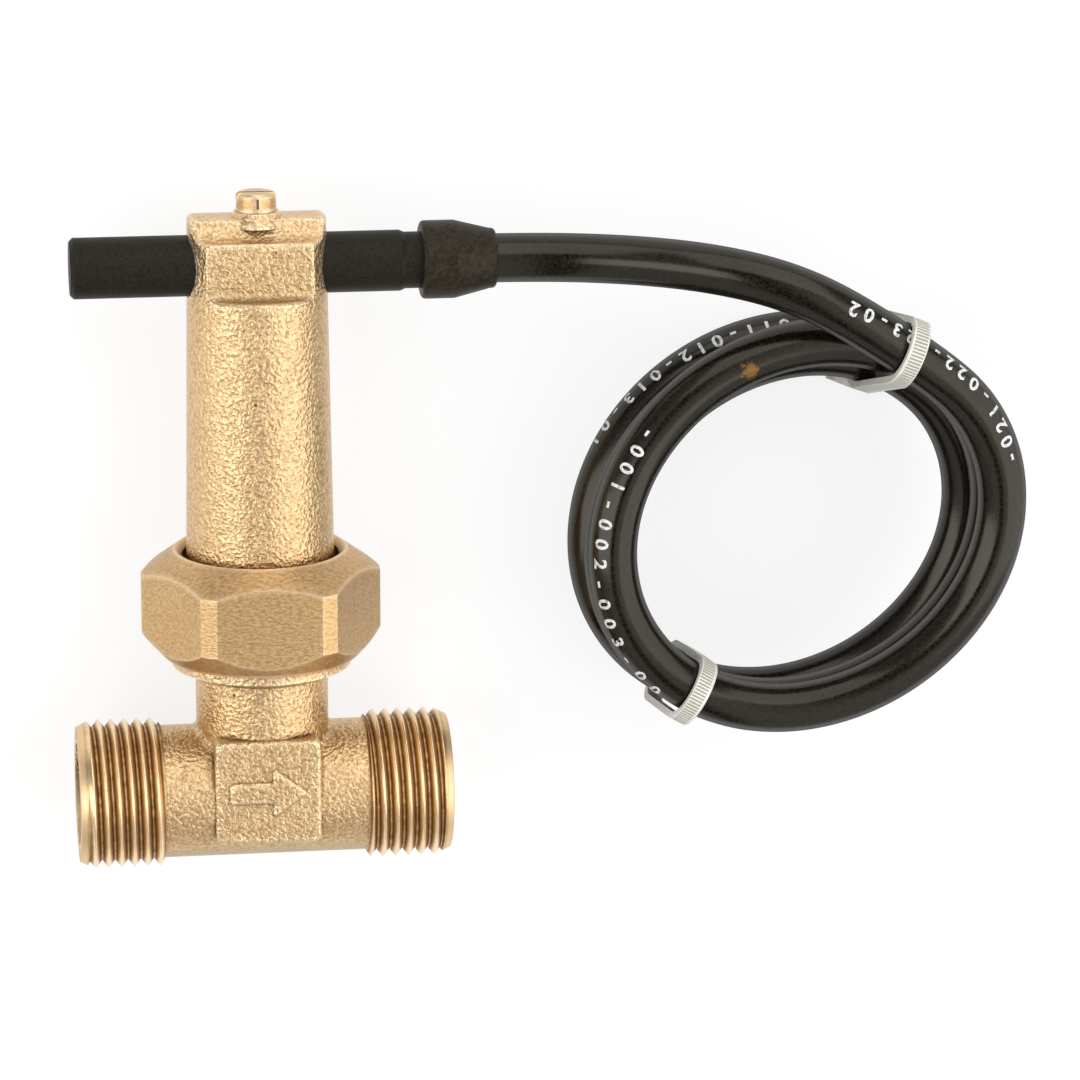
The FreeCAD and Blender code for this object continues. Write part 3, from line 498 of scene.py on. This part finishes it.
def tie_nylon(name, turn):
    """Off-white nylon with grip ribs across the strap, which crosses the cable at this turn of the coil."""
    material, shader, add, links = node_material("tie_nylon_" + name)
    position = object_position(add)
    middle = coil_centre(turn)
    heading = coil_heading(turn)
    up = Vector((0, 0, 1))
    up = (up - heading * up.dot(heading)).normalized()
    aside = along(add, position, middle, heading.cross(up))
    over = along(add, position, middle, up)
    lengthways = along(add, position, middle, heading)
    angle = maths(add, "ARCTAN2", aside, maths(add, "MAXIMUM", over, 0.0))
    round_it = maths(add, "MULTIPLY", angle, RIB_RADIUS)
    down = maths(add, "MULTIPLY", maths(add, "SIGN", aside), maths(add, "MINIMUM", over, 0.0))
    way = maths(add, "SUBTRACT", round_it, down)
    wave = maths(add, "SINE", maths(add, "MULTIPLY", way, 2 * math.pi / RIB_PITCH))
    inside = maths(add, "ABSOLUTE", lengthways)
    mask = span(add, inside, RIB_HALF_WIDTH * RIB_FADE, RIB_HALF_WIDTH)
    # Painted shade in the grooves between the ribs
    groove = maths(add, "MULTIPLY", span(add, wave, 0.1, -0.7), mask)
    cloud = noise(add, position, 700.0, detail=3.0, rough=0.6)
    tone = grade(add, cloud, [(0.3, NYLON_SHADE), (0.7, NYLON_LIGHT)])
    links.new(mix_colour(add, groove, tone, (*NYLON_GROOVE_SHADE, 1.0)), shader.inputs["Base Color"])
    shader.inputs["Roughness"].default_value = 0.40
    shader.inputs["Subsurface Weight"].default_value = 0.12
    shader.inputs["Subsurface Radius"].default_value = (0.001, 0.001, 0.0008)
    raised = maths(add, "SUBTRACT", 1.0, groove)
    ribs = bump(add, raised, 0.00014, strength=0.9)
    links.new(bump(add, cloud, 0.00003, strength=0.4, onto=ribs), shader.inputs["Normal"])
    return material


def steel():
    """Satin steel with a fine grain."""
    material, shader, add, links = node_material("steel")
    grain = noise(add, object_position(add), 1500.0, detail=3.0, rough=0.6)
    tone = grade(add, grain, [(0.3, STEEL_DARK), (0.7, STEEL_LIGHT)])
    links.new(tone, shader.inputs["Base Color"])
    shader.inputs["Metallic"].default_value = 1.0
    shader.inputs["Roughness"].default_value = 0.34
    links.new(bump(add, grain, 0.00004, strength=0.3), shader.inputs["Normal"])
    return material


def clear_glass():
    """Clear greenish glass with a faint haze."""
    material, shader, add, links = node_material("glass")
    haze = noise(add, object_position(add), 400.0, detail=2.0, rough=0.5)
    links.new(grade(add, haze, [(0.3, 0.02), (0.7, 0.08)]), shader.inputs["Roughness"])
    shader.inputs["Base Color"].default_value = (0.82, 0.93, 0.87, 1.0)
    shader.inputs["Transmission Weight"].default_value = 1.0
    return material


def white_print():
    """White ink, thin in places."""
    material, shader, add, links = node_material("white_print")
    cover = noise(add, object_position(add), 2400.0, detail=2.0, rough=0.6)
    tone = grade(add, cover, [(0.36, PRINT_THIN), (0.52, PRINT_FULL)])
    links.new(tone, shader.inputs["Base Color"])
    shader.inputs["Roughness"].default_value = 0.55
    return material


# Stage, light and camera


def camera():
    """The camera, as the photograph's stood to the part."""
    data = bpy.data.cameras.new("camera")
    data.lens = CAMERA_LENS
    data.sensor_width = CAMERA_SENSOR
    data.clip_start = CAMERA_CLIP_START
    data.clip_end = CAMERA_CLIP_END
    turn = (
        Matrix.Rotation(-CAMERA_YAW, 4, "Y")
        @ Matrix.Rotation(-CAMERA_TILT, 4, "X")
        @ Matrix.Rotation(CAMERA_ROLL, 4, "Z")
    )
    away = turn @ Vector((0, 0, CAMERA_DISTANCE))
    holder = add_object("camera", data)
    holder.matrix_world = Matrix.Translation(CAMERA_AIM + away) @ turn
    bpy.context.scene.camera = holder


def softbox(name, at, size, brightness):
    """A soft rectangular lamp aimed at the part, which the camera does not see."""
    data = bpy.data.lights.new(name, "AREA")
    data.shape = "RECTANGLE"
    data.size = size[0]
    data.size_y = size[1]
    data.energy = brightness * math.pi * size[0] * size[1]
    lamp = add_object(name, data)
    lamp.location = at
    lamp.rotation_euler = (SOFTBOX_AIM - Vector(at)).to_track_quat("-Z", "Y").to_euler()
    lamp.visible_camera = False


def table():
    """A white table that glows to the camera, in what mirrors it and through glass, and to nothing else."""
    mesh = bpy.data.meshes.new("floor")
    low, high = -FLOOR_HALF, FLOOR_HALF
    corners = [(low, low, 0), (high, low, 0), (high, high, 0), (low, high, 0)]
    mesh.from_pydata(corners, [], [(0, 1, 2, 3)])
    floor = add_object("floor", mesh)
    material, shader, add, links = node_material("floor")
    cloud = noise(add, object_position(add), 3.0, detail=2.0, rough=0.5)
    links.new(grade(add, cloud, [(0.3, FLOOR_GREY[0]), (0.7, FLOOR_GREY[1])]), shader.inputs["Base Color"])
    shader.inputs["Roughness"].default_value = 0.9
    shader.inputs["Specular IOR Level"].default_value = 0.1
    path = add("ShaderNodeLightPath")
    seen = maths(add, "MAXIMUM", path.outputs["Is Camera Ray"], path.outputs["Is Glossy Ray"])
    seen = maths(add, "MAXIMUM", seen, path.outputs["Is Transmission Ray"])
    shader.inputs["Emission Color"].default_value = (1.0, 1.0, 1.0, 1.0)
    links.new(maths(add, "MULTIPLY", seen, FLOOR_GLOW), shader.inputs["Emission Strength"])
    mesh.materials.append(material)


def plain_world():
    """A grey world with a dark flag across it, which the brass mirrors."""
    world = bpy.data.worlds.new("studio")
    world.use_nodes = True
    bpy.context.scene.world = world
    add = node_adder(world.node_tree)
    direction = add("ShaderNodeTexCoord").outputs["Generated"]
    towards = add("ShaderNodeVectorMath", {0: direction, 1: WORLD_BRIGHTEST}, operation="DOT_PRODUCT")
    sky = grade(add, towards.outputs["Value"], [WORLD_LOW, WORLD_HIGH])
    parts = add("ShaderNodeSeparateXYZ", {"Vector": direction})
    angle = maths(add, "ARCTAN2", parts.outputs["X"], parts.outputs["Z"])
    aside = maths(add, "ABSOLUTE", maths(add, "SUBTRACT", angle, FLAG_ANGLE))
    past = span(add, aside, (1 - FLAG_FADE) * FLAG_HALF_ANGLE, (1 + FLAG_FADE) * FLAG_HALF_ANGLE)
    tone = mix_colour(add, past, (FLAG_GREY, FLAG_GREY, FLAG_GREY, 1.0), sky)
    world.node_tree.links.new(tone, world.node_tree.nodes["Background"].inputs["Color"])


def studio():
    """The table, the world, and softboxes left, right and beyond the head."""
    bpy.context.scene.view_settings.view_transform = "Standard"
    table()
    plain_world()
    for name, at, size, brightness in SOFTBOXES:
        softbox(name, at, size, brightness)


# Threads


def threaded_tee(node, material, end_material):
    """The tee with turned end faces and without its plain barrels, whose place the cut threads take."""
    source = node.data
    faces = []
    normals = []
    for face in source.polygons:
        corners = [source.vertices[i].co for i in face.vertices]
        radii = [math.hypot(c.y + RUN_DROP, c.z - AXIS_HEIGHT) / MM for c in corners]
        nearest = min(abs(c.x) for c in corners) / MM
        if nearest > BARREL_START and max(radii) > BARREL_HIGH and min(radii) >= BARREL_LOW:
            continue
        faces.append(list(face.vertices))
        normals += [source.corner_normals[i].vector.copy() for i in face.loop_indices]
    mesh = bpy.data.meshes.new("tee_casting")
    mesh.from_pydata([v.co.copy() for v in source.vertices], [], faces)
    mesh.polygons.foreach_set("use_smooth", [True] * len(faces))
    mesh.normals_split_custom_set(normals)
    mesh.materials.append(material)
    mesh.materials.append(end_material)
    for face in mesh.polygons:
        if min(abs(mesh.vertices[i].co.x) for i in face.vertices) > (RUN_HALF - END_FACE_REACH) * MM:
            face.material_index = 1
    piece = add_object("tee_casting", mesh)
    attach(piece, "tee")
    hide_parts("tee_body")


def thread_point(side, distance, turn, last):
    """A point of the thread; it starts under the run's surface and ends in a lip behind the end face."""
    x = side * (RUN_HALF - THREAD_LENGTH + distance)
    # A wave along the thread, 1 on its crests and -1 in its roots
    phase = x / THREAD_PITCH - turn + THREAD_PHASE[side]
    wave = 2 * abs(2 * (phase - math.floor(phase)) - 1) - 1
    inward = THREAD_LENGTH - distance
    cut = min(max((inward - THREAD_PLAIN_END) / THREAD_PLAIN_END, 0.0), 1.0)
    rounded = wave * (1 + THREAD_ROUNDING - THREAD_ROUNDING * wave * wave)
    radius = THREAD_CREST - cut * THREAD_DEPTH * (0.5 - 0.5 * rounded)
    chamfer = THREAD_CREST + THREAD_CHAMFER * (inward / THREAD_CHAMFER_LENGTH - 1)
    envelope = min(THREAD_START_RADIUS + THREAD_START_SLOPE * distance, THREAD_CREST, chamfer)
    radius = envelope - THREAD_LIP if last else min(radius, envelope)
    angle = 2 * math.pi * turn
    return place(x, radius * math.cos(angle), radius * math.sin(angle))


def pipe_threads(material):
    """Right-handed threads on both ends of the run, cut down to a cone at their outer ends."""
    points = []
    faces = []
    rows = round(THREAD_LENGTH / THREAD_PITCH * THREAD_ROWS_PER_PITCH)
    steps = [-THREAD_LEAD_IN] + [THREAD_LENGTH * i / rows for i in range(rows + 1)]
    steps[-1] -= THREAD_END_GAP
    steps.append(steps[-1] - THREAD_LIP_BACK)
    last = len(steps) - 1
    for side in (-1, 1):
        first = len(points)
        for i, distance in enumerate(steps):
            for j in range(THREAD_COLUMNS):
                points.append(thread_point(side, distance, j / THREAD_COLUMNS, i == last))
        for i in range(last):
            for j in range(THREAD_COLUMNS):
                after = (j + 1) % THREAD_COLUMNS
                here = first + i * THREAD_COLUMNS
                there = here + THREAD_COLUMNS
                quad = (here + j, here + after, there + after, there + j)
                faces.append(quad if side > 0 else quad[::-1])
    mesh = bpy.data.meshes.new("pipe_threads")
    mesh.from_pydata(points, [], faces)
    mesh.polygons.foreach_set("use_smooth", [True] * len(faces))
    mesh.materials.append(material)
    piece = add_object("pipe_threads", mesh)
    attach(piece, "tee")


# Flow arrow


def rounded_outline(corners, radius, steps=4):
    """The corners of a flat outline, each cut to a short curve."""
    outline = []
    for before, corner, after in zip(corners[-1:] + corners[:-1], corners, corners[1:] + corners[:1]):
        start = corner + (before - corner).normalized() * radius
        end = corner + (after - corner).normalized() * radius
        for k in range(steps + 1):
            t = k / steps
            outline.append((1 - t) ** 2 * start + 2 * t * (1 - t) * corner + t * t * end)
    return outline


def flow_arrow(material):
    """A plain cast arrow on the pad, from the inlet to the outlet."""
    half = ARROW_LENGTH / 2
    neck = half - ARROW_HEAD_LENGTH
    profile = [
        (-half, ARROW_SHAFT),
        (-half, -ARROW_SHAFT),
        (neck, -ARROW_SHAFT),
        (neck, -ARROW_HEAD),
        (half, 0.0),
        (neck, ARROW_HEAD),
        (neck, ARROW_SHAFT),
    ]
    outline = rounded_outline([Vector((*p, 0)) for p in profile], ARROW_CORNER)
    data = bpy.data.curves.new("flow_arrow", "CURVE")
    data.dimensions = "2D"
    data.fill_mode = "BOTH"
    data.extrude = ARROW_FOOT * MM
    data.bevel_depth = ARROW_RELIEF * MM
    data.bevel_resolution = 4
    data.offset = -ARROW_RELIEF * MM / 2
    spline = data.splines.new("POLY")
    spline.points.add(len(outline) - 1)
    for knot, at in zip(spline.points, outline):
        knot.co = (at.x * MM, at.y * MM, 0, 1.0)
    spline.use_cyclic_u = True
    data.materials.append(material)
    piece = add_object("flow_arrow", data)
    piece.location = place(0, PAD_CENTRE_LEVEL, PAD_FRONT - ARROW_FOOT)
    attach(piece, "tee")


# Cable


def coil_centre(turn):
    """The middle of the cable after so many turns, clockwise from the start and down to the surface."""
    angle = math.radians(COIL_START - 360 * turn)
    from_long = angle - math.radians(COIL_LONG_AXIS)
    oval = math.hypot(COIL_SHORT_RADIUS * math.cos(from_long), COIL_LONG_RADIUS * math.sin(from_long))
    radius = COIL_LONG_RADIUS * COIL_SHORT_RADIUS / oval
    radius += COIL_LEAD_IN * math.exp(-turn / COIL_LEAD_IN_FADE)
    radius -= COIL_STAGGER * math.cos(math.pi * turn)
    rise = COIL_PITCH * (COIL_TURNS / 2 - turn)
    return place(
        COIL_CENTRE_X + COIL_LEAN_X * rise + radius * math.cos(angle),
        COIL_CENTRE_LEVEL + COIL_LEAN_Y * rise + radius * math.sin(angle),
        COIL_END_HEIGHT + COIL_PITCH * (COIL_TURNS - turn) - AXIS_HEIGHT / MM,
    )


def coil_heading(turn):
    """The direction in which the coil runs there."""
    step = 0.0005
    return (coil_centre(turn + step) - coil_centre(turn - step)).normalized()


def cable_route():
    """The lead's points, then the coil's turns and its straight end."""
    points = [place(*p) for p in LEAD_ROUTE]
    start = coil_centre(0)
    heading = coil_heading(0)
    points.append(start - heading * (CABLE_DIAMETER + LEAD_LAST_RUN * MM))
    count = round(COIL_TURNS * COIL_POINTS_PER_TURN)
    points += [coil_centre(COIL_TURNS * k / count) for k in range(count + 1)]
    points.append(points[-1] + coil_heading(COIL_TURNS) * CABLE_DIAMETER)
    return points


def cable_curve():
    """The cable's middle line as one smooth curve, still without thickness."""
    points = cable_route()
    data = bpy.data.curves.new("cable", "CURVE")
    data.dimensions = "3D"
    data.resolution_u = 10
    data.use_fill_caps = True
    spline = data.splines.new("NURBS")
    spline.points.add(len(points) - 1)
    for knot, at in zip(spline.points, points):
        knot.co = (*at, 1.0)
    spline.order_u = 3
    spline.use_endpoint_u = True
    return add_object("cable", data)


def line_of(piece):
    """The middle line of a cord that has no thickness yet: its points, and how far along it each lies."""
    mesh = bpy.data.meshes.new_from_object(piece)
    points = [v.co.copy() for v in mesh.vertices]
    bpy.data.meshes.remove(mesh)
    lengths = [0.0]
    for before, after in zip(points, points[1:]):
        lengths.append(lengths[-1] + (after - before).length)
    return points, lengths


def on_cable(line, distance, angle, lift):
    """A point over the cable's surface, so far along it and turned so far round it from its top."""
    points, lengths = line
    k = 1
    while k < len(points) - 2 and lengths[k] < distance:
        k += 1
    share = (distance - lengths[k - 1]) / (lengths[k] - lengths[k - 1])
    middle = points[k - 1].lerp(points[k], share)
    before = points[k] - points[max(k - 2, 0)]
    after = points[k + 1] - points[k - 1]
    heading = before.lerp(after, share).normalized()
    up = Vector((0, 0, 1))
    up = (up - heading * up.dot(heading)).normalized()
    out = up * math.cos(angle) + heading.cross(up) * math.sin(angle)
    return middle + out * (CABLE_DIAMETER / 2 + lift)


def glyph_mesh(text):
    """One printed digit or dash, flat, cut into narrow strips so that it can bend round the cable."""
    data = bpy.data.curves.new("glyph", "FONT")
    data.body = text
    data.size = PRINT_SIZE
    data.offset = PRINT_BOLDNESS
    data.align_x = "CENTER"
    data.align_y = "CENTER"
    data.resolution_u = 3
    holder = bpy.data.objects.new("glyph", data)
    mesh = bpy.data.meshes.new_from_object(holder)
    bpy.data.objects.remove(holder)
    bpy.data.curves.remove(data)
    work = bmesh.new()
    work.from_mesh(mesh)
    bpy.data.meshes.remove(mesh)
    for k in range(-PRINT_STRIPS, PRINT_STRIPS + 1):
        cut = work.verts[:] + work.edges[:] + work.faces[:]
        bmesh.ops.bisect_plane(work, geom=cut, plane_co=(0, k * PRINT_STRIP, 0), plane_no=(0, 1, 0))
    bmesh.ops.triangulate(work, faces=work.faces[:])
    work.verts.index_update()
    points = [v.co.copy() for v in work.verts]
    faces = [[v.index for v in f.verts] for f in work.faces]
    work.free()
    return points, faces


def length_marks(line, material):
    """Running length marks in plain digits, which read backwards along the cable."""
    points = []
    faces = []
    glyphs = {}
    for start, end, angles, text in PRINT_RUNS:
        for k, letter in enumerate(text):
            if letter not in glyphs:
                glyphs[letter] = glyph_mesh(letter)
            flat, parts = glyphs[letter]
            share = 1 - k / (len(text) - 1)
            # The angle follows a parabola through the three given
            near = (1 - share) * (1 - 2 * share) * angles[0]
            middle = 4 * share * (1 - share) * angles[1]
            far = share * (2 * share - 1) * angles[2]
            angle = math.radians(near + middle + far)
            distance = (start + (end - start) * share) * MM
            first = len(points)
            for p in flat:
                turned = angle + p.y / (CABLE_DIAMETER / 2)
                points.append(on_cable(line, distance - p.x, turned, PRINT_LIFT))
            faces += [[first + i for i in part] for part in parts]
    mesh = bpy.data.meshes.new("length_marks")
    mesh.from_pydata(points, [], faces)
    mesh.materials.append(material)
    piece = add_object("length_marks", mesh)
    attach(piece, "probe")
    return piece


def cable():
    """The whole cable as one cord, with its length marks."""
    piece = cable_curve()
    line = line_of(piece)
    stain = on_cable(line, STAIN_ALONG, STAIN_ANGLE, 0.0)
    piece.data.bevel_depth = CABLE_DIAMETER / 2
    piece.data.bevel_resolution = 8
    piece.data.materials.append(cable_sheath(stain))
    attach(piece, "probe")
    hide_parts("cable_lead", "cable_coil")
    marks = length_marks(line, white_print())


def dress(nodes, names, material):
    """Gives these solids a material."""
    for name in names:
        mesh = nodes[name].data
        mesh.materials.clear()
        mesh.materials.append(material)


def main():
    """Stands the stage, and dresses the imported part."""
    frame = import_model()
    nodes = frame["nodes"]
    camera()
    studio()
    cable()
    casting = cast_brass("cast_brass", 1.0)
    turned = turned_brass()
    threaded_tee(nodes["tee_body"], casting, turned)
    pipe_threads(threaded_brass())
    flow_arrow(casting)
    dress(nodes, ["housing"], cast_brass("cast_brass_housing", 0.5))
    dress(nodes, ["union_nut", "set_screw", "pivot_carrier", "pressure_pad"], turned)
    metal = steel()
    dress(nodes, ["lever", "paddle_blade", "paddle_rivets", "pivot_pin", "return_spring", "magnet"], metal)
    dress(nodes, ["reed_blade_left", "reed_blade_right"], metal)
    plastic = black_skin("black_plastic", PLASTIC_BLACK, rough=0.50, scale=3000.0)
    dress(nodes, ["reed_tube", "magnet_holder", "potting_resin", "core_wires"], plastic)
    rubber = black_skin("boot_rubber", RUBBER_BLACK, rough=0.44, scale=1600.0)
    dress(nodes, ["strain_relief", "union_gasket"], rubber)
    dress(nodes, ["reed_capsule"], clear_glass())
    for name, turn in TIE_TURNS.items():
        dress(nodes, [name], tie_nylon(name, turn))


main()
